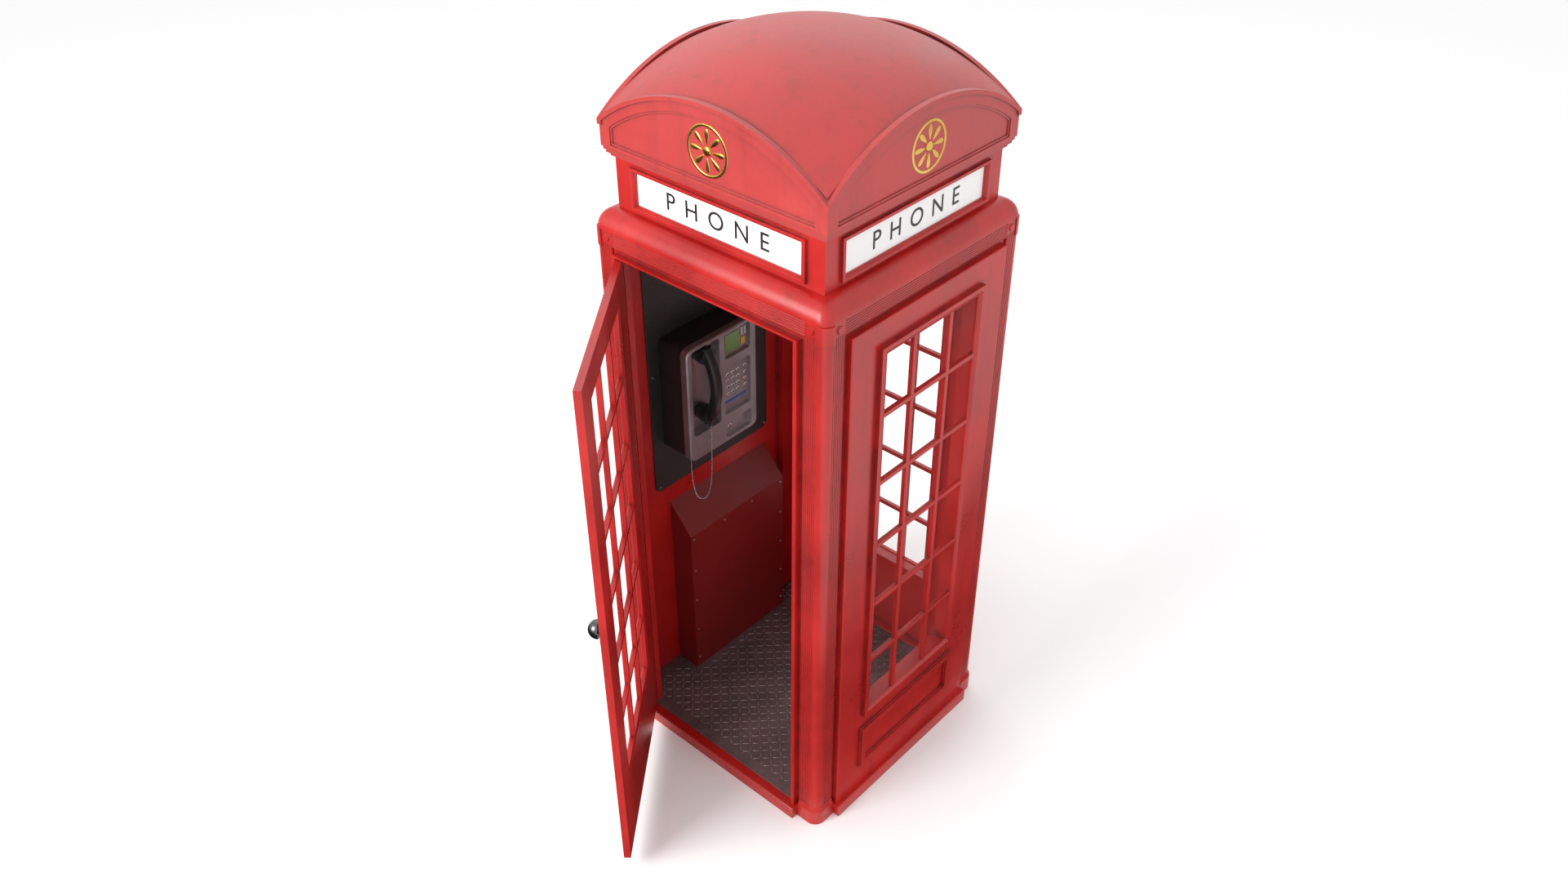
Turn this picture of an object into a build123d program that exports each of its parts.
"""A square cast-metal telephone booth with a domed roof, one glazed door and a payphone inside.

Millimetres. +Z is up, the doorway faces -Y, and the origin is the centre of the base on the ground.
"""
import math
import os

from build123d import *

os.makedirs("parts", exist_ok=True)

# ---------------------------------------------------------------- driving sizes: plan, half-widths
sill_half = 465.0          # outer face of the straight sills
sill_end = 355.0           # where each straight sill stops beside a corner foot
post_half = 434.0          # outer faces of the corner posts
post_radius = 30.0         # rounded corner of each post
post_inner = 404.0         # inner faces of the posts and of the glazed walls
post_leg = 360.0           # where a post's leg stops and a wall panel begins
panel_half = 347.0         # raised front of a wall panel
panel_face = 449.0         # outer face of the raised fronts
channel_face = 428.0       # floor of the channel round each raised front
solid_wall_inner = 432.0   # inner face of the blind wall that carries the payphone
box_half = 379.0           # sign box under the roof
block_half = 405.0         # flat faces of the roof's four pediments
rim_half = 409.4           # outer edge of the pediment rims

# ---------------------------------------------------------------- driving sizes: heights
sill_top = 45.0
floor_top = 48.0
foot_top = 56.0
channel_top = 1862.0       # underside of the reeded band
raised_top = 1848.0        # top of the raised wall fronts
band_top = 1907.0
shoulder_top = 1963.0
box_top = 2117.0
block_bottom = 2147.0
roof_apex = 2460.0

# ---------------------------------------------------------------- driving sizes: glazing
window_half = 211.0
window_low = 401.0
window_high = 1748.0
window_bars = (612.0, 845.0, 1078.0, 1311.0, 1544.0)
side_bar = 82.0            # distance of each upright bar from the middle of a window
bar_width = 15.0
edge_bar = 4.0
pane_thickness = 3.0

# ---------------------------------------------------------------- driving sizes: door
doorway_half = 335.0
doorway_top = 1842.0
door_gap = 0.6
door_bottom = 51.0
door_thickness = 22.0
door_rest_angle = 51.0     # how far the door stands open
door_window = (222.0, 343.0, 1743.0)
door_bars = (576.3, 809.7, 1043.0, 1276.3, 1509.7)
hinge_heights = (300.0, 945.0, 1590.0)
hinge_height = 90.0
knuckle_radius = 5.0
pin_radius = 2.5

# ---------------------------------------------------------------- driving sizes: payphone
phone_left = -230.0
phone_right = 84.0
phone_low = 1016.0
phone_high = 1441.0
phone_front = -295.0       # face of the metal cover
cover_depth = 28.0
recess_depth = 14.0
recess_floor_thickness = 3.0
handset_y = -148.0
key_radius = 7.0
key_travel = 2.5

# ---------------------------------------------------------------- the four faces as sketch planes
# Each plane's x runs to the right as seen from outside, its y is up and its normal points out.
faces = {
    "front": Plane(origin=(0, 0, 0), x_dir=(1, 0, 0), z_dir=(0, -1, 0)),
    "right": Plane(origin=(0, 0, 0), x_dir=(0, 1, 0), z_dir=(1, 0, 0)),
    "rear": Plane(origin=(0, 0, 0), x_dir=(-1, 0, 0), z_dir=(0, 1, 0)),
    "left": Plane(origin=(0, 0, 0), x_dir=(0, -1, 0), z_dir=(-1, 0, 0)),
}
# Planes that cut each face end-on: x points outward and y is up.
sections = {
    name: Plane(origin=(0, 0, 0), x_dir=face.z_dir, z_dir=-face.x_dir) for name, face in faces.items()
}
# The wall that the payphone hangs on, seen from inside: x is +Y, y is up and the normal is +X.
inside_wall = Plane(origin=(0, 0, 0), x_dir=(0, 1, 0), z_dir=(1, 0, 0))


def save(piece, name):
    """Label a finished piece and write it to its own STEP file."""
    piece.label = name
    export_step(piece, f"parts/{name}.step")


def span(left, right, low, high, mode=Mode.ADD):
    """A rectangle between two sides and two heights in the current sketch."""
    with Locations(((left + right) / 2, (low + high) / 2)):
        Rectangle(right - left, high - low, mode=mode)


def round_span(left, right, low, high, radius, mode=Mode.ADD):
    """The same with rounded corners."""
    with Locations(((left + right) / 2, (low + high) / 2)):
        RectangleRounded(right - left, high - low, radius, mode=mode)


# ---------------------------------------------------------------- base
slab_half = 340.0

with BuildPart() as base_sill:
    with BuildSketch():
        Rectangle(2 * sill_half, 2 * sill_end)
        Rectangle(2 * sill_end, 2 * sill_half)
        Rectangle(2 * slab_half, 2 * slab_half, mode=Mode.SUBTRACT)
    extrude(amount=sill_top)
    outer_edges = base_sill.faces().sort_by(Axis.Z)[-1].outer_wire().edges()
    straight_edges = [edge for edge in outer_edges if edge.length > 2 * sill_end - 1]
    chamfer(straight_edges, 3)
save(base_sill.part, "base_sill")

with BuildPart() as floor_slab:
    with BuildSketch():
        Rectangle(2 * slab_half, 2 * slab_half)
    extrude(amount=sill_top)
save(floor_slab.part, "floor_slab")

# The tread plate fills the inside and runs out under the door between the jambs.
tread_front = 433.0
with BuildPart() as floor_plate:
    with BuildSketch(Plane.XY.offset(sill_top)):
        Rectangle(2 * post_inner - 1, 2 * post_inner - 1)
        span(-doorway_half + 1, doorway_half - 1, -tread_front, 0)
        span(-solid_wall_inner + 0.5, 0, -doorway_half + 1, doorway_half - 1)
    extrude(amount=floor_top - sill_top)
save(floor_plate.part, "floor_plate")

# ---------------------------------------------------------------- corner posts
foot_half = 442.0
cove_height = 18.0
cap_half = 437.0
cap_bottom = 1852.0
reed_pitch = 7.5
reed_start = 364.0
reed_grooves = 5
groove_radius = 1.9
shaft_groove = 401.5       # fine groove that sets the rounded corner apart
block_low = 1868.0         # plain block that carries the roundels
roundel_place = 381.0
roundel_height = 1886.0
roundel_radius = 12.0

with BuildPart() as post:
    # shaft, foot with a sloped top, and cap, all first made as whole rounded squares
    with BuildSketch():
        RectangleRounded(2 * post_half, 2 * post_half, post_radius)
    extrude(amount=band_top)
    with BuildSketch():
        RectangleRounded(2 * foot_half, 2 * foot_half, post_radius + foot_half - post_half)
    extrude(amount=foot_top)
    with BuildSketch(Plane.XY.offset(foot_top)):
        RectangleRounded(2 * foot_half, 2 * foot_half, post_radius + foot_half - post_half)
    extrude(amount=cove_height, taper=23)
    # only one corner of them is kept, as an angle with two legs
    with BuildSketch():
        span(sill_end, sill_half, -sill_half, -sill_end)
    extrude(amount=band_top, mode=Mode.INTERSECT)
    with BuildSketch():
        span(-post_inner, post_inner, -post_inner, post_inner)
    extrude(amount=band_top, mode=Mode.SUBTRACT)
    with BuildSketch(Plane.XY.offset(sill_top)):
        span(sill_end, post_leg, -sill_half, -post_inner)
        span(post_inner, sill_half, -post_leg, -sill_end)
    extrude(amount=band_top, mode=Mode.SUBTRACT)
    # cap round the corner shaft
    with BuildSketch(Plane.XY.offset(cap_bottom)):
        RectangleRounded(2 * cap_half, 2 * cap_half, post_radius + cap_half - post_half)
        span(shaft_groove, sill_half, -sill_half, -shaft_groove, mode=Mode.INTERSECT)
        span(-post_inner, post_inner, -post_inner, post_inner, mode=Mode.SUBTRACT)
    extrude(amount=band_top - cap_bottom)
    # reeds on both outer faces, and the fine grooves beside the corner shaft
    with BuildSketch(Plane.XY.offset(foot_top + cove_height)):
        for number in range(reed_grooves):
            place = reed_start + number * reed_pitch
            with Locations((place, -post_half), (post_half, -place)):
                Circle(groove_radius)
    extrude(amount=block_low - foot_top - cove_height, mode=Mode.SUBTRACT)
    with BuildSketch(Plane.XY.offset(foot_top + cove_height)):
        with Locations((shaft_groove, -post_half), (post_half, -shaft_groove)):
            Circle(1.4)
    extrude(amount=cap_bottom - foot_top - cove_height, mode=Mode.SUBTRACT)
    # roundels
    with BuildSketch(faces["front"].offset(post_half)):
        with Locations((roundel_place, roundel_height)):
            Circle(roundel_radius)
    extrude(amount=4, taper=25)
    with BuildSketch(faces["right"].offset(post_half)):
        with Locations((-roundel_place, roundel_height)):
            Circle(roundel_radius)
    extrude(amount=4, taper=25)

for quarter, post_name in enumerate(("front_right", "rear_right", "rear_left", "front_left")):
    save(post.part.rotate(Axis.Z, 90 * quarter), f"corner_post_{post_name}")

# ---------------------------------------------------------------- wall panels
moulding_face = 462.6      # flat front of the raised mouldings
moulding_flat = 14.0
moulding_width = 23.5      # from a moulding's outer edge to its opening
moulding_foot = 457.0      # where the inner slope of the window moulding ends
kick_half = 241.0
kick_low = 148.0
kick_high = 320.0
kick_step = 4.0
kick_step_face = 456.0
kick_width = 21.0
wall_rib = 12.0            # ribs that stiffen a hollow wall round its edges


def frame_span(half, low, high, width):
    """A flat picture frame that runs inwards from the given outer edges."""
    span(-half, half, low, high)
    span(-half + width, half - width, low + width, high - width, mode=Mode.SUBTRACT)


def wall_panel(face, glazed):
    """A cast wall: raised front, mouldings round the window and the kick field, hollow behind."""
    frame_half = window_half + moulding_width
    frame_low = window_low - moulding_width
    frame_high = window_high + moulding_width
    with BuildPart() as panel:
        with BuildSketch(face.offset(post_inner)):
            span(-post_leg, post_leg, sill_top, channel_top)
        extrude(amount=channel_face - post_inner)
        with BuildSketch(face.offset(channel_face)):
            span(-panel_half, panel_half, sill_top, raised_top)
        extrude(amount=panel_face - channel_face)
        front_edges = panel.faces().sort_by(Axis(face.origin, face.z_dir))[-1].outer_wire().edges()
        upper_edges = front_edges.sort_by(Axis.Z)[1:]
        chamfer(upper_edges, 2.5)
        # kick moulding: a lower step on both sides and a higher middle
        with BuildSketch(face.offset(panel_face)):
            frame_span(
                kick_half + kick_step, kick_low - kick_step, kick_high + kick_step,
                kick_width + 2 * kick_step,
            )
        extrude(amount=kick_step_face - panel_face)
        with BuildSketch(face.offset(kick_step_face)):
            frame_span(kick_half, kick_low, kick_high, kick_width)
        extrude(amount=moulding_face - kick_step_face)
        # window moulding: upright outer edge, flat front, then a slope down to the glazing
        with BuildSketch(face.offset(panel_face)):
            span(-frame_half, frame_half, frame_low, frame_high)
        extrude(amount=moulding_face - panel_face)
        slope_width = moulding_width - moulding_flat
        slope_depth = moulding_face - moulding_foot
        with BuildSketch(face.offset(moulding_face)):
            span(
                -window_half - slope_width, window_half + slope_width,
                window_low - slope_width, window_high + slope_width,
            )
        slope_angle = math.degrees(math.atan(slope_width / slope_depth))
        extrude(amount=-slope_depth, taper=slope_angle, mode=Mode.SUBTRACT)
        if glazed:
            with BuildSketch(face.offset(moulding_foot)):
                span(-window_half, window_half, window_low, window_high)
            extrude(amount=-(moulding_foot - post_inner), mode=Mode.SUBTRACT)
        # the back is hollow, with ribs round its edge and round a window
        hollow_low = sill_top + wall_rib if glazed else sill_top
        with BuildSketch(face.offset(post_inner)):
            span(-panel_half + wall_rib, panel_half - wall_rib, hollow_low, raised_top - wall_rib)
            if glazed:
                span(
                    -window_half - wall_rib, window_half + wall_rib,
                    window_low - wall_rib, window_high + wall_rib, mode=Mode.SUBTRACT,
                )
        extrude(amount=solid_wall_inner - post_inner, mode=Mode.SUBTRACT)
    return panel.part


save(wall_panel(faces["right"], glazed=True), "panel_right")
save(wall_panel(faces["rear"], glazed=True), "panel_rear")
save(wall_panel(faces["left"], glazed=False), "panel_left")


# ---------------------------------------------------------------- glazing
bars_front = moulding_foot
bars_depth = 14.0


def glazing_bars(face, front, depth, opening, heights):
    """The frame and crossing bars that hold one window's panes."""
    half, low, high = opening
    with BuildPart() as bars:
        with BuildSketch(face.offset(front - depth)):
            frame_span(half, low, high, edge_bar)
            for place in (-side_bar, side_bar):
                span(place - bar_width / 2, place + bar_width / 2, low, high)
            for height in heights:
                span(-half, half, height - bar_width / 2, height + bar_width / 2)
        extrude(amount=depth)
        front_edges = bars.faces().sort_by(Axis(face.origin, face.z_dir))[-1].edges()
        chamfer(front_edges.filter_by(lambda edge: edge.length > bar_width + 1), 1.5)
    return bars.part


def window_panes(face, centre, opening, heights):
    """One separate pane in every cell between the bars."""
    half, low, high = opening
    columns = [-half + edge_bar]
    for place in (-side_bar, side_bar):
        columns += [place - bar_width / 2, place + bar_width / 2]
    columns.append(half - edge_bar)
    rows = [low + edge_bar]
    for height in heights:
        rows += [height - bar_width / 2, height + bar_width / 2]
    rows.append(high - edge_bar)
    with BuildPart() as panes:
        with BuildSketch(face.offset(centre - pane_thickness / 2)):
            for left, right in zip(columns[0::2], columns[1::2]):
                for bottom, top in zip(rows[0::2], rows[1::2]):
                    span(left, right, bottom, top)
        extrude(amount=pane_thickness)
    return panes.part


side_window = (window_half, window_low, window_high)
for side in ("right", "rear"):
    bars = glazing_bars(faces[side], bars_front, bars_depth, side_window, window_bars)
    save(bars, f"glazing_bars_{side}")
    panes = window_panes(faces[side], bars_front - bars_depth / 2, side_window, window_bars)
    save(panes, f"glass_{side}")

# ---------------------------------------------------------------- door frame
hinge_x = -doorway_half
hinge_y = -panel_face
stop_reach = 10.0          # how far the door stop stands into the doorway
stop_face = panel_face - door_thickness - 1.0
leaf_thickness = 2.0
hinge_leaf_depth = 18.0

with BuildPart() as door_frame:
    with BuildSketch(faces["front"].offset(post_inner)):
        span(-post_leg, post_leg, sill_top, channel_top)
        span(-doorway_half, doorway_half, sill_top, doorway_top, mode=Mode.SUBTRACT)
    extrude(amount=channel_face - post_inner)
    with BuildSketch(faces["front"].offset(channel_face)):
        span(-panel_half, panel_half, sill_top, raised_top)
        span(-doorway_half, doorway_half, sill_top, doorway_top, mode=Mode.SUBTRACT)
    extrude(amount=panel_face - channel_face)
    # door stop behind the leaf, standing on the tread plate's level
    with BuildSketch(faces["front"].offset(post_inner)):
        span(-post_leg, post_leg, floor_top, channel_top)
        span(
            -doorway_half + stop_reach, doorway_half - stop_reach,
            floor_top, doorway_top - stop_reach, mode=Mode.SUBTRACT,
        )
    extrude(amount=stop_face - post_inner)
    # mortises for the fixed hinge leaves and clearance round the knuckles
    for height in hinge_heights:
        with BuildSketch(Plane.XY.offset(height - hinge_height / 2)):
            with Locations((hinge_x, hinge_y)):
                Circle(knuckle_radius + 0.4)
            span(hinge_x - leaf_thickness, hinge_x, hinge_y, hinge_y + hinge_leaf_depth)
        extrude(amount=hinge_height, mode=Mode.SUBTRACT)
save(door_frame.part, "door_frame")

# ---------------------------------------------------------------- cornice: reeded band and shoulder
band_reeds = 5
band_groove_low = 1866.0
shoulder_radius = 33.0
shoulder_base = 434.0

with BuildPart() as cornice:
    for name, face in faces.items():
        with BuildSketch(face.offset(post_inner)):
            span(-post_leg, post_leg, channel_top, band_top)
        extrude(amount=post_half - post_inner)
        with BuildSketch(sections[name]):
            for number in range(band_reeds + 1):
                with Locations((post_half, band_groove_low + number * reed_pitch)):
                    Circle(groove_radius)
        extrude(amount=post_leg, both=True, mode=Mode.SUBTRACT)
    # the shoulder swells from the sign box's sharp square to the posts' rounded one
    for step in range(7):
        angle = math.radians(15 * step)
        half = box_half + (shoulder_base - box_half) * math.cos(angle)
        height = band_top + (shoulder_top - band_top) * math.sin(angle)
        with BuildSketch(Plane.XY.offset(height)):
            RectangleRounded(2 * half, 2 * half, max(shoulder_radius * math.cos(angle), 1.0))
    loft()
    with BuildSketch(Plane.XY.offset(band_top)):
        Rectangle(2 * box_half - 24, 2 * box_half - 24)
    extrude(amount=shoulder_top - band_top, mode=Mode.SUBTRACT)
save(cornice.part, "cornice")

# ---------------------------------------------------------------- sign box
sign_half = 300.0
sign_low = 1990.0
sign_high = 2085.0
sign_frame_half = 319.0
sign_frame_low = 1976.0
sign_frame_high = 2101.0
sign_frame_height = 9.0
box_wall = 12.0

with BuildPart() as sign_box:
    with BuildSketch(Plane.XY.offset(shoulder_top)):
        Rectangle(2 * box_half, 2 * box_half)
        Rectangle(2 * (box_half - box_wall), 2 * (box_half - box_wall), mode=Mode.SUBTRACT)
    extrude(amount=box_top - shoulder_top)
    for face in faces.values():
        with BuildSketch(face.offset(box_half)):
            span(-sign_frame_half, sign_frame_half, sign_frame_low, sign_frame_high)
        extrude(amount=sign_frame_height)
        # bevel that falls from the raised frame to the glass, with a small step at its foot
        with BuildSketch(face.offset(box_half + sign_frame_height)):
            span(-sign_half - 9, sign_half + 9, sign_low - 7, sign_high + 8)
        extrude(amount=-sign_frame_height, taper=30, mode=Mode.SUBTRACT)
        with BuildSketch(face.offset(box_half + sign_frame_height)):
            span(-sign_half, sign_half, sign_low, sign_high)
        extrude(amount=-sign_frame_height - box_wall, mode=Mode.SUBTRACT)
save(sign_box.part, "sign_box")

with BuildPart() as sign_glasses:
    for face in faces.values():
        with BuildSketch(face.offset(box_half - 8)):
            span(-sign_half, sign_half, sign_low, sign_high)
        extrude(amount=4)
save(sign_glasses.part, "sign_glasses")

# ---------------------------------------------------------------- roof
dome_radius = 824.0
dome_centre = roof_apex - dome_radius
dome_edge = 396.0
shell_thickness = 18.0
rim_arc = 645.0            # outer arc of the pediment rims, seen face on
rim_centre = 1726.0
rim_thickness = 12.0
rim_reach = 16.0
field_arc = 606.0          # arched top of the sunk pediment field
field_half = 366.0
field_low = 2156.0
corbels = ((388.0, box_top, 2127.0), (396.0, 2127.0, 2137.0), (401.0, 2137.0, block_bottom))

with BuildPart() as roof:
    with Locations((0, 0, dome_centre)):
        Sphere(dome_radius)
    with BuildSketch(Plane.XY.offset(block_bottom)):
        Rectangle(2 * dome_edge, 2 * dome_edge)
    extrude(amount=roof_apex, mode=Mode.INTERSECT)
    for face in faces.values():
        # pediment slab under its arc
        with BuildSketch(face.offset(dome_edge - 20)):
            with Locations((0, rim_centre)):
                Circle(rim_arc - rim_thickness + 1)
            span(-block_half, block_half, block_bottom, roof_apex, mode=Mode.INTERSECT)
        extrude(amount=block_half - dome_edge + 20)
        # rim that follows the arc
        with BuildSketch(face.offset(rim_half - rim_reach)):
            with Locations((0, rim_centre)):
                Circle(rim_arc)
                Circle(rim_arc - rim_thickness, mode=Mode.SUBTRACT)
            span(-rim_half, rim_half, block_bottom, roof_apex, mode=Mode.INTERSECT)
        extrude(amount=rim_reach)
        # sunk field with a stepped edge
        for inset, depth in ((0.0, 3.0), (7.0, 6.0)):
            with BuildSketch(face.offset(block_half)):
                with Locations((0, rim_centre)):
                    Circle(field_arc - inset)
                span(
                    -field_half + inset, field_half - inset,
                    field_low + inset, roof_apex, mode=Mode.INTERSECT,
                )
            extrude(amount=-depth, mode=Mode.SUBTRACT)
    for half, low, high in corbels:
        with BuildSketch(Plane.XY.offset(low)):
            Rectangle(2 * half, 2 * half)
        extrude(amount=high - low)
    # hollow underside that follows the dome
    with BuildPart(mode=Mode.PRIVATE) as hollow:
        with Locations((0, 0, dome_centre)):
            Sphere(dome_radius - shell_thickness)
        with BuildSketch(Plane.XY.offset(box_top)):
            Rectangle(2 * (box_half - box_wall), 2 * (box_half - box_wall))
        extrude(amount=roof_apex, mode=Mode.INTERSECT)
    add(hollow.part, mode=Mode.SUBTRACT)
save(roof.part, "roof")

# ---------------------------------------------------------------- ceiling and lamp
ceiling_low = 1864.0
with BuildPart() as ceiling_panel:
    with BuildSketch(Plane.XY.offset(ceiling_low)):
        Rectangle(2 * post_inner, 2 * post_inner)
    extrude(amount=6)
save(ceiling_panel.part, "ceiling_panel")

lamp_length = 460.0
tube_radius = 13.0
with BuildPart() as lamp_batten:
    with BuildSketch(Plane.XY.offset(ceiling_low - 26)):
        Rectangle(56, lamp_length)
    extrude(amount=26)
    fillet(lamp_batten.edges().filter_by(Axis.Y).group_by(Axis.Z)[0], 6)
    with BuildSketch(Plane.XY.offset(ceiling_low - 62)):
        with Locations((0, lamp_length / 2 - 9), (0, -lamp_length / 2 + 9)):
            Rectangle(32, 18)
    extrude(amount=40)
save(lamp_batten.part, "lamp_batten")

with BuildPart() as lamp_tube:
    with BuildSketch(Plane.XZ.offset(-lamp_length / 2 + 18)):
        with Locations((0, ceiling_low - 46)):
            Circle(tube_radius)
    extrude(amount=lamp_length - 36)
save(lamp_tube.part, "lamp_tube")

# ---------------------------------------------------------------- backboard behind the payphone
board_half = 273.0
board_low = 850.0
board_high = 1765.0
board_front = -solid_wall_inner + 6.0

with BuildPart() as backboard:
    with BuildSketch(inside_wall.offset(-solid_wall_inner)):
        round_span(-board_half, board_half, board_low, board_high, 22)
    extrude(amount=6)
    chamfer(backboard.faces().sort_by(Axis.X)[-1].edges(), 1)
save(backboard.part, "backboard")

# ---------------------------------------------------------------- equipment cabinet
cabinet_left = -210.0
cabinet_right = 260.0
cabinet_front = -337.0
cabinet_shoulder = 668.0
cabinet_top = 776.0
cabinet_wall = 2.0
cabinet_section = Plane(origin=(0, cabinet_left, 0), x_dir=(1, 0, 0), z_dir=(0, -1, 0))


with BuildPart() as equipment_cabinet:
    with BuildSketch(cabinet_section):
        with BuildLine():
            Polyline(
                (-solid_wall_inner, floor_top),
                (cabinet_front, floor_top),
                (cabinet_front, cabinet_shoulder),
                (-solid_wall_inner, cabinet_top),
                close=True,
            )
        make_face()
    extrude(amount=-(cabinet_right - cabinet_left))
    back_face = equipment_cabinet.faces().sort_by(Axis.X)[0]
    offset(amount=-cabinet_wall, openings=back_face)
save(equipment_cabinet.part, "equipment_cabinet")

# Round-headed screws: six hold the backboard and twelve hold the cabinet's front.
with BuildPart() as fixing_screws:
    with BuildSketch(inside_wall.offset(board_front)):
        with Locations((0, (board_low + board_high) / 2)):
            with GridLocations(2 * board_half - 32, (board_high - board_low - 32) / 2, 2, 3):
                Circle(5)
    extrude(amount=2.5, taper=20)
    with BuildSketch(inside_wall.offset(cabinet_front)):
        for height in (90.0, 230.0, 370.0, 510.0, 650.0):
            with Locations((cabinet_left + 14, height), (cabinet_right - 14, height)):
                Circle(4)
        with Locations((cabinet_left + 165, 650.0), (cabinet_right - 165, 650.0)):
            Circle(4)
    extrude(amount=2, taper=20)
save(fixing_screws.part, "fixing_screws")

# ---------------------------------------------------------------- payphone case and cover
phone_middle = (phone_left + phone_right) / 2
cover_back = phone_front - cover_depth
recess_floor = phone_front - recess_depth
case_wall = 3.0
cover_radius = 28.0
pocket = (-211.0, -85.0, 1111.0, 1431.0)         # handset pocket: left, right, low, high
pocket_floor = -334.0
pocket_wall = 3.0
display_recess = (-62.0, 57.0, 1335.0, 1431.0)
keypad_recess = (-66.0, 56.0, 1124.0, 1306.0)
coin_recess = (-64.0, 56.0, 1032.0, 1094.0)
key_columns = (-42.0, -18.5, 5.0, 39.0)
key_rows = (1268.0, 1243.0, 1218.0, 1193.0)
button_place = (-38.0, 1064.0)
button_radius = 9.0
flap = (-12.0, 42.0, 1041.0, 1082.0)
moving_gap = 0.4
gland_x = -340.0
gland_y = -190.0
gland_neck = 6.0

with BuildPart() as phone_case:
    with BuildSketch(inside_wall.offset(board_front)):
        round_span(phone_left + 3, phone_right - 3, phone_low + 3, phone_high - 3, cover_radius - 4)
    extrude(amount=cover_back - board_front)
    case_mouth = phone_case.faces().sort_by(Axis.X)[-1]
    offset(amount=-case_wall, openings=case_mouth)
    # slot through the floor of the case for the cord's gland
    with BuildSketch(Plane.XY.offset(phone_low)):
        with Locations((gland_x, gland_y)):
            Circle(gland_neck + 0.3)
    extrude(amount=10, mode=Mode.SUBTRACT)
save(phone_case.part, "phone_case")

with BuildPart() as phone_fascia:
    with BuildSketch(inside_wall.offset(cover_back)):
        round_span(phone_left, phone_right, phone_low, phone_high, cover_radius)
    extrude(amount=cover_depth)
    chamfer(phone_fascia.faces().sort_by(Axis.X)[-1].edges(), 4)
    # tray behind the handset pocket
    with BuildSketch(inside_wall.offset(pocket_floor - pocket_wall)):
        round_span(
            pocket[0] - pocket_wall, pocket[1] + pocket_wall,
            pocket[2] - pocket_wall, pocket[3] + pocket_wall, 16,
        )
    extrude(amount=cover_back - pocket_floor + pocket_wall + 1)
    with BuildSketch(inside_wall.offset(pocket_floor)):
        round_span(*pocket, 14)
    extrude(amount=phone_front - pocket_floor, mode=Mode.SUBTRACT)
    # the three shallow recesses, with sloping sides
    for recess in (display_recess, keypad_recess, coin_recess):
        with BuildSketch(inside_wall.offset(phone_front)):
            round_span(*recess, 10)
        extrude(amount=-recess_depth, taper=14, mode=Mode.SUBTRACT)
    # clearance behind the keys and behind the coin return, leaving thin recess floors
    for left, right, low, high in ((-56.0, 52.0, 1178.0, 1283.0), (-54.0, 50.0, 1036.0, 1088.0)):
        with BuildSketch(inside_wall.offset(cover_back)):
            span(left, right, low, high)
        extrude(amount=recess_floor - recess_floor_thickness - cover_back, mode=Mode.SUBTRACT)
    with BuildSketch(inside_wall.offset(cover_back)):
        for column in key_columns:
            for row in key_rows:
                with Locations((column, row)):
                    Circle(key_radius + moving_gap)
        with Locations(button_place):
            Circle(button_radius + moving_gap)
        span(flap[0] - moving_gap, flap[1] + moving_gap, flap[2] - moving_gap, flap[3] + moving_gap)
    extrude(amount=cover_depth - 1, mode=Mode.SUBTRACT)
    # hole in the pocket's floor for the hook switch
    with BuildSketch(inside_wall.offset(pocket_floor - pocket_wall)):
        with Locations((handset_y, 1396.0)):
            Circle(6 + moving_gap)
    extrude(amount=pocket_wall, mode=Mode.SUBTRACT)
save(phone_fascia.part, "phone_fascia")

with BuildPart() as display_window:
    with BuildSketch(inside_wall.offset(recess_floor)):
        span(-47, 15, 1348, 1413)
    extrude(amount=2)
save(display_window.part, "display_window")

with BuildPart() as coin_slot_plate:
    with BuildSketch(inside_wall.offset(recess_floor)):
        round_span(23, 49, 1386, 1416, 4)
    extrude(amount=4)
    with BuildSketch(inside_wall.offset(recess_floor + 4)):
        span(34.6, 37.4, 1389, 1413)
    extrude(amount=-4, mode=Mode.SUBTRACT)
save(coin_slot_plate.part, "coin_slot_plate")

with BuildPart() as slot_insert:
    with BuildSketch(inside_wall.offset(recess_floor)):
        round_span(27, 43, 1350, 1378, 2)
    extrude(amount=3)
    with BuildSketch(inside_wall.offset(recess_floor + 3)):
        span(33.5, 36.5, 1353, 1375)
    extrude(amount=-3, mode=Mode.SUBTRACT)
save(slot_insert.part, "slot_insert")

# ---------------------------------------------------------------- keys and coin return
key_stand = 5.0            # how far a key stands out of the recess floor
collar_gap = 0.5


def push_button(place, radius, stand):
    """A round button with a wider collar behind the recess floor that keeps it from falling out."""
    floor_back = recess_floor - recess_floor_thickness
    with BuildPart() as button:
        with BuildSketch(inside_wall.offset(floor_back - collar_gap)):
            with Locations(place):
                Circle(radius)
        extrude(amount=recess_floor_thickness + collar_gap + stand)
        fillet(button.faces().sort_by(Axis.X)[-1].edges(), 2)
        with BuildSketch(inside_wall.offset(floor_back - collar_gap - 2)):
            with Locations(place):
                Circle(radius + 1.5)
        extrude(amount=2)
    return button.part


for row_number, row in enumerate(key_rows, start=1):
    for column_number, column in enumerate(key_columns, start=1):
        key = push_button((column, row), key_radius, key_stand)
        save(key, f"key_row{row_number}_column{column_number}")

save(push_button(button_place, button_radius, key_stand), "coin_return_button")

flap_thickness = 2.5
flap_pin_x = recess_floor - flap_thickness / 2 - 0.5
with BuildPart() as coin_return_flap:
    with BuildSketch(inside_wall.offset(flap_pin_x - flap_thickness / 2)):
        span(flap[0], flap[1], flap[2], flap[3] - 2)
    extrude(amount=flap_thickness)
    # rolled upper edge that turns on the hinge line, with stub pins at both ends
    with BuildSketch(Plane.XZ.offset(-flap[0])):
        with Locations((flap_pin_x, flap[3] - 2)):
            Circle(1.8)
    extrude(amount=-(flap[1] - flap[0]))
save(coin_return_flap.part, "coin_return_flap")

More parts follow.
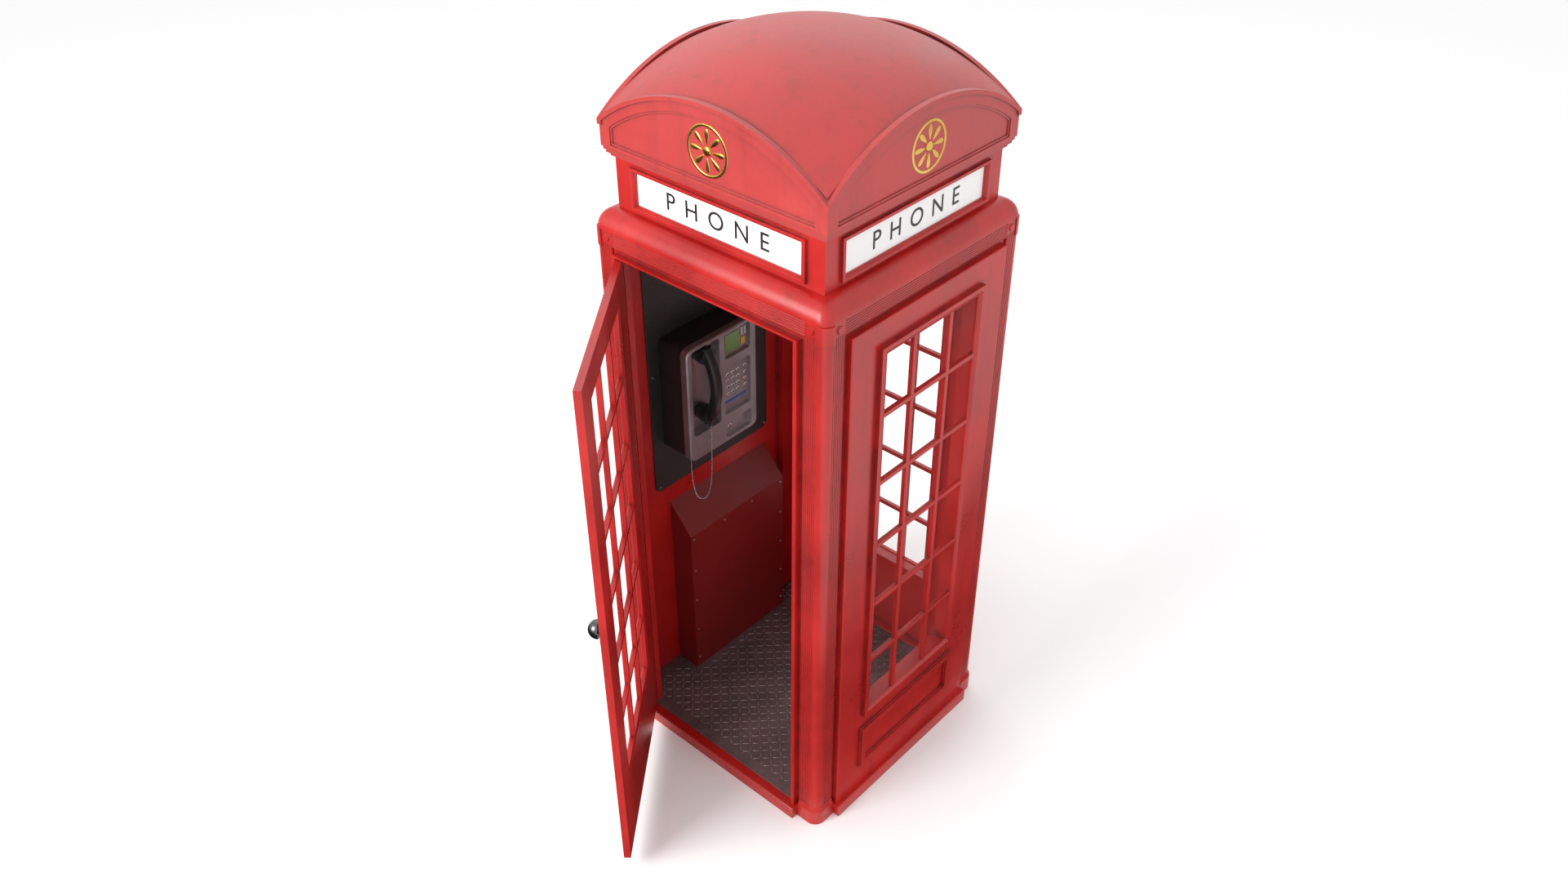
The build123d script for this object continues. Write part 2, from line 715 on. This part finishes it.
# ---------------------------------------------------------------- handset, hook switch and cord
ear_height = 1396.0
mouth_height = 1176.0
cup_radius = 31.0
cup_back = -328.0
cup_front = -288.0
grip_width = 36.0
grip_out = -236.0          # outermost line of the grip
hook_radius = 6.0
cord_radius = 2.5
cord_top = 1133.0
cord_x = -283.0

with BuildPart() as handset_shell:
    with BuildSketch(Plane.XZ.offset(-handset_y - grip_width / 2)):
        with BuildLine():
            Polyline((cup_front, ear_height - 24), (cup_front - 6, ear_height - 24))
            Line((cup_front - 6, ear_height - 24), (cup_front - 6, ear_height + cup_radius - 1))
            Line((cup_front - 6, ear_height + cup_radius - 1), (cup_front + 8, ear_height + cup_radius - 1))
            ThreePointArc(
                (cup_front + 8, ear_height + cup_radius - 1),
                (grip_out, (ear_height + mouth_height) / 2),
                (cup_front + 8, mouth_height - cup_radius + 1),
            )
            Line((cup_front + 8, mouth_height - cup_radius + 1), (cup_front - 6, mouth_height - cup_radius + 1))
            Line((cup_front - 6, mouth_height - cup_radius + 1), (cup_front - 6, mouth_height + 24))
            Line((cup_front - 6, mouth_height + 24), (cup_front, mouth_height + 24))
            ThreePointArc(
                (cup_front, mouth_height + 24),
                (grip_out - 30, (ear_height + mouth_height) / 2),
                (cup_front, ear_height - 24),
            )
        make_face()
    extrude(amount=grip_width)
    grip_edges = handset_shell.faces().sort_by(Axis.Y)[-1].edges().filter_by(GeomType.CIRCLE)
    grip_edges += handset_shell.faces().sort_by(Axis.Y)[0].edges().filter_by(GeomType.CIRCLE)
    fillet(grip_edges, 9)
    for height in (ear_height, mouth_height):
        with BuildSketch(inside_wall.offset(cup_front - 14)):
            with Locations((handset_y, height)):
                Circle(cup_radius)
        extrude(amount=14 + 10, taper=4)
    # moulded neck that grips the end of the cord
    with BuildSketch(Plane.XY.offset(cord_top)):
        with Locations((cord_x, handset_y)):
            Circle(cord_radius + 2.5)
    extrude(amount=20)
save(handset_shell.part, "handset_shell")

with BuildPart() as handset_caps:
    for height in (ear_height, mouth_height):
        with BuildSketch(inside_wall.offset(cup_front - 14)):
            with Locations((handset_y, height)):
                Circle(cup_radius)
        extrude(amount=-(cup_front - 14 - cup_back), taper=10)
save(handset_caps.part, "handset_caps")

with BuildPart() as hook_switch:
    with BuildSketch(inside_wall.offset(pocket_floor - 14)):
        with Locations((handset_y, ear_height)):
            Circle(hook_radius)
    extrude(amount=cup_back - pocket_floor + 14 - 0.5)
    fillet(hook_switch.faces().sort_by(Axis.X)[-1].edges(), 2)
    with BuildSketch(inside_wall.offset(pocket_floor - 14)):
        with Locations((handset_y, ear_height)):
            Circle(hook_radius + 3)
    extrude(amount=2)
save(hook_switch.part, "hook_switch")

# The armoured cord hangs from the foot of the handset and comes up into the case from below.
gland_face = phone_low - 9
cord_points = [
    (cord_x, handset_y, cord_top),
    (cord_x, handset_y, 1062.0),
    (-283.4, -148.8, 990.0),
    (-285.0, -151.0, 918.0),
    (-291.0, -157.0, 866.0),
    (-301.0, -166.0, 833.0),
    (-322.0, -182.0, 833.0),
    (-333.0, -188.0, 868.0),
    (gland_x, gland_y, 934.0),
    (gland_x, gland_y, gland_face),
]


def arc_radii(points):
    """The largest tangent arc at each corner of a route, from 0.45 of the shorter run beside it."""
    radii = []
    for before, corner, after in zip(points, points[1:], points[2:]):
        arriving = Vector(*corner) - Vector(*before)
        leaving = Vector(*after) - Vector(*corner)
        turn = math.radians(arriving.get_angle(leaving))
        shorter = min(arriving.length, leaving.length)
        radii.append(0.45 * shorter / math.tan(turn / 2))
    return radii


cord_radii = arc_radii(cord_points)
print("cord arc radii", [round(radius, 1) for radius in cord_radii])
with BuildPart() as handset_cord:
    with BuildLine() as cord_route:
        FilletPolyline(*cord_points, radius=cord_radii)
    cord_wire = cord_route.wires()[0]
    with BuildSketch(Plane(origin=cord_wire.position_at(0), z_dir=cord_wire.tangent_at(0))):
        Circle(cord_radius)
    sweep()
cord_length = cord_wire.length
print("cord length", round(cord_length, 1), "volume ratio",
      round(handset_cord.part.volume / (math.pi * cord_radius**2 * cord_length), 4))
save(handset_cord.part, "handset_cord")

with BuildPart() as cord_gland:
    with BuildSketch(Plane.XY.offset(gland_face)):
        with Locations((gland_x, gland_y)):
            Circle(gland_neck + 2)
    extrude(amount=phone_low + 3 - gland_face)
    fillet(cord_gland.faces().sort_by(Axis.Z)[0].edges(), 2)
    with BuildSketch(Plane.XY.offset(phone_low + 3)):
        with Locations((gland_x, gland_y)):
            Circle(gland_neck)
    extrude(amount=5)
save(cord_gland.part, "cord_gland")

# ---------------------------------------------------------------- door, made shut and then swung open
door_left = -doorway_half + door_gap
door_right = doorway_half - 1.6
door_top = doorway_top - 3.0
hinge_line = Axis((hinge_x, hinge_y, 0), (0, 0, 1))
door_bars_front = panel_face - 3.0
door_bars_depth = 16.0
bevel_width = 11.0
door_kick_half = 234.0
door_kick_low = 148.0
door_kick_high = 289.0
door_kick_step = 7.0
door_kick_depth = 3.0


def hang(piece, name):
    """Swing a door piece from its shut place to its resting place and write it."""
    save(piece.rotate(hinge_line, -door_rest_angle), name)


with BuildPart() as door_leaf:
    with BuildSketch(faces["front"].offset(panel_face - door_thickness)):
        span(door_left, door_right, door_bottom, door_top)
    extrude(amount=door_thickness)
    for level, amount in ((panel_face, -7.0), (panel_face - door_thickness, 6.0)):
        with BuildSketch(faces["front"].offset(level)):
            span(
                -door_window[0] - bevel_width, door_window[0] + bevel_width,
                door_window[1] - bevel_width, door_window[2] + bevel_width,
            )
        extrude(amount=amount, taper=math.degrees(math.atan(bevel_width / abs(amount))), mode=Mode.SUBTRACT)
    with BuildSketch(faces["front"].offset(panel_face)):
        span(-door_window[0], door_window[0], door_window[1], door_window[2])
    extrude(amount=-door_thickness, mode=Mode.SUBTRACT)
    with BuildSketch(faces["front"].offset(panel_face)):
        span(-door_kick_half, door_kick_half, door_kick_low, door_kick_high)
    extrude(amount=-door_kick_depth, mode=Mode.SUBTRACT)
    with BuildSketch(faces["front"].offset(panel_face)):
        span(
            door_kick_step - door_kick_half, door_kick_half - door_kick_step,
            door_kick_low + door_kick_step, door_kick_high - door_kick_step,
        )
    extrude(amount=-2 * door_kick_depth, mode=Mode.SUBTRACT)
    for height in hinge_heights:
        with BuildSketch(Plane.XY.offset(height - hinge_height / 2)):
            with Locations((hinge_x, hinge_y)):
                Circle(knuckle_radius + 0.4)
            span(door_left, door_left + leaf_thickness, hinge_y, hinge_y + hinge_leaf_depth)
        extrude(amount=hinge_height, mode=Mode.SUBTRACT)
hang(door_leaf.part, "door_leaf")
bars = glazing_bars(faces["front"], door_bars_front, door_bars_depth, door_window, door_bars)
hang(bars, "door_glazing_bars")
panes = window_panes(faces["front"], door_bars_front - door_bars_depth / 2, door_window, door_bars)
hang(panes, "door_glass")

knob_x = 283.0
knob_height = 1003.0
knob_radius = 29.0
dome_centre = 14.0         # how far the dome's centre stands off the door
dome_start = 12.0
neck_radius = 13.0
knob_plate_half = 21.0
knob_plate_low = 944.0
knob_plate_high = 1036.0
knob_plate_thickness = 8.0
dome_edge = math.sqrt(knob_radius**2 - (dome_centre - dome_start)**2)
dome_side = knob_radius * math.sqrt(0.5)

with BuildPart() as door_knob:
    with BuildSketch(faces["front"].offset(panel_face)):
        round_span(
            knob_x - knob_plate_half, knob_x + knob_plate_half,
            knob_plate_low, knob_plate_high, knob_plate_half - 1,
        )
    extrude(amount=knob_plate_thickness)
    chamfer(door_knob.faces().sort_by(Axis.Y)[0].edges(), 2)
    with BuildSketch(Plane(origin=(knob_x, -panel_face, knob_height), x_dir=(0, 0, 1), z_dir=(1, 0, 0))):
        with BuildLine():
            Polyline((0, 1), (neck_radius, 1), (neck_radius, dome_start), (dome_edge, dome_start))
            ThreePointArc(
                (dome_edge, dome_start), (dome_side, dome_centre + dome_side), (0, dome_centre + knob_radius),
            )
            Line((0, dome_centre + knob_radius), (0, 1))
        make_face()
    revolve(axis=Axis((knob_x, -panel_face, knob_height), (0, -1, 0)))
hang(door_knob.part, "door_knob")

# ---------------------------------------------------------------- door hinges
knuckle_length = hinge_height / 3
knuckle_gap = 0.4
pin_play = 0.05

with BuildPart() as hinge_leaves_fixed:
    for height in hinge_heights:
        low = height - hinge_height / 2
        with BuildSketch(Plane.XY.offset(low)):
            span(hinge_x - leaf_thickness, hinge_x, hinge_y + knuckle_radius + 0.8, hinge_y + hinge_leaf_depth)
        extrude(amount=hinge_height)
        for start in (low, low + 2 * knuckle_length + knuckle_gap):
            with BuildSketch(Plane.XY.offset(start)):
                with Locations((hinge_x, hinge_y)):
                    Circle(knuckle_radius)
                span(hinge_x - leaf_thickness, hinge_x, hinge_y, hinge_y + hinge_leaf_depth)
                with Locations((hinge_x, hinge_y)):
                    Circle(pin_radius, mode=Mode.SUBTRACT)
            extrude(amount=knuckle_length - knuckle_gap)
save(hinge_leaves_fixed.part, "hinge_leaves_fixed")

with BuildPart() as hinge_leaves_moving:
    for height in hinge_heights:
        low = height - hinge_height / 2
        with BuildSketch(Plane.XY.offset(low)):
            span(door_left, door_left + leaf_thickness, hinge_y + knuckle_radius + 0.8, hinge_y + hinge_leaf_depth)
        extrude(amount=hinge_height)
        with BuildSketch(Plane.XY.offset(low + knuckle_length)):
            with Locations((hinge_x, hinge_y)):
                Circle(knuckle_radius)
            span(door_left, door_left + leaf_thickness, hinge_y, hinge_y + hinge_leaf_depth)
            with Locations((hinge_x, hinge_y)):
                Circle(pin_radius + pin_play, mode=Mode.SUBTRACT)
        extrude(amount=knuckle_length)
hang(hinge_leaves_moving.part, "hinge_leaves_moving")

with BuildPart() as hinge_pins:
    for height in hinge_heights:
        with BuildSketch(Plane.XY.offset(height - hinge_height / 2)):
            with Locations((hinge_x, hinge_y)):
                Circle(pin_radius)
        extrude(amount=hinge_height)
save(hinge_pins.part, "hinge_pins")
